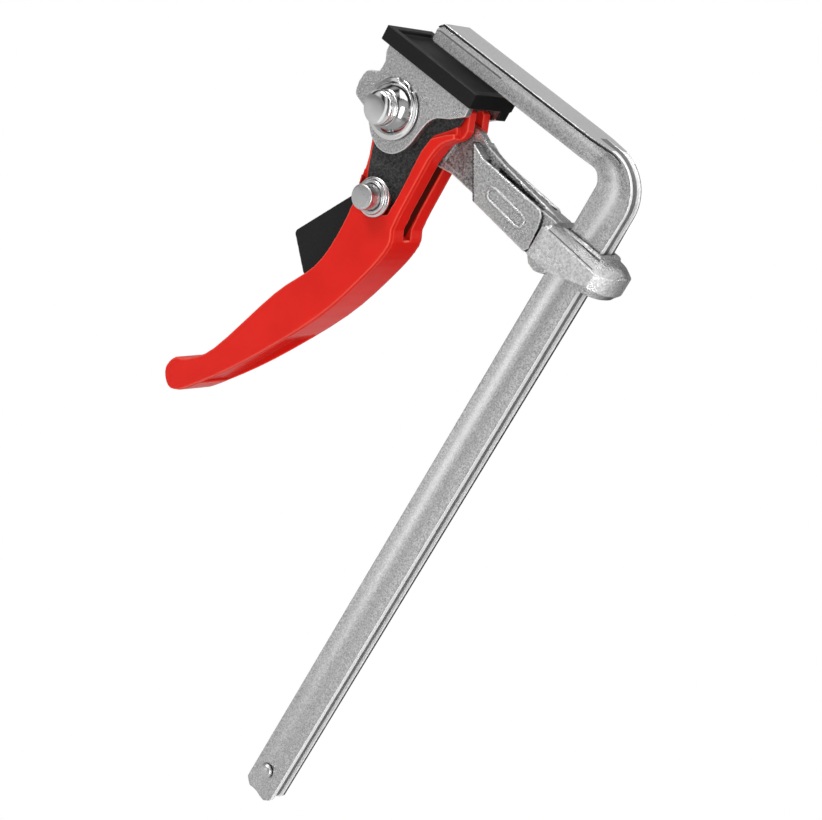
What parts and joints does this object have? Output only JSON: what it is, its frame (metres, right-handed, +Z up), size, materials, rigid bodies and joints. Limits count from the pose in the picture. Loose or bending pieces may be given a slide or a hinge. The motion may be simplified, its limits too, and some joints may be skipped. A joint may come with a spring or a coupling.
{
  "type": "f clamp",
  "caption": "Bent-rail f clamp with a sliding arm, a squeeze lever that lifts a pressure pad, and a ratchet released by a trigger.",
  "frame": {"origin": "on the fixed jaw's clamping face, on the clamping axis above the middle of the pressure pad", "axes": "+Z up along the rail from its foot to the fixed jaw; +X from the clamping axis to the rail; -Y the face with the plain end of the trigger pin"},
  "size_m": [0.1177, 0.0344, 0.2342],
  "materials": {
    "rail_steel": "satin nickel plated",
    "rivet_steel": "bright zinc plated",
    "arm_casting": "fine blasted and zinc plated casting",
    "hardened_steel": "hardened, oiled",
    "pin_steel": "ground bright steel",
    "cap_chrome": "polished chrome plate",
    "lever_red": "glossy red coating on a die casting",
    "bush_bronze": "plain bearing bronze",
    "plate_grey": "fine textured dark grey",
    "washer_steel": "bright zinc plated",
    "trigger_black": "satin black",
    "carrier_casting": "fine blasted and zinc plated casting",
    "pad_black": "satin black"
  },
  "bodies": {
    "rail": {"rail": "rail_steel", "stop_rivet": "rivet_steel"},
    "sliding_arm": {"sliding_arm": "arm_casting", "ratchet_sector": "hardened_steel", "sector_dowel": "rivet_steel", "pivot_pin": "pin_steel", "pivot_cap_near": "cap_chrome", "pivot_cap_far": "cap_chrome"},
    "lever": {"lever_handle": "lever_red", "lever_bushes": "bush_bronze", "side_plate_near": "plate_grey", "side_plate_far": "plate_grey", "trigger_pin": "pin_steel", "lock_washer": "washer_steel"},
    "trigger": {"release_trigger": "trigger_black", "pawl": "hardened_steel", "pawl_rivets": "rivet_steel"},
    "pad": {"pad_carrier": "carrier_casting", "pressure_pad": "pad_black", "pad_rivets": "rivet_steel"}
  },
  "joints": [
    {"name": "arm_slide", "type": "slide", "parent": "rail", "child": "sliding_arm", "axis": [0, 0, -1], "range_m": [0, 0.185]},
    {"name": "lever_squeeze", "type": "hinge", "parent": "sliding_arm", "child": "lever", "pos_m": [-0.0045, 0, -0.0213], "axis": [0, -1, 0], "range_deg": [-9, 6.5]},
    {"name": "pad_lift", "type": "slide", "parent": "sliding_arm", "child": "pad", "axis": [0, 0, 1], "range_m": [-0.0034, 0.0025]},
    {"name": "trigger_press", "type": "hinge", "parent": "lever", "child": "trigger", "pos_m": [0.00285, 0, -0.0459], "axis": [0, -1, 0], "range_deg": [0, 10], "stiffness_Nm_per_rad": 0.3, "springref_deg": -11.46}
  ],
  "couplings": [
    {"joint": "pad_lift", "follows": "lever_squeeze", "m_per_rad": 0.021}
  ]
}
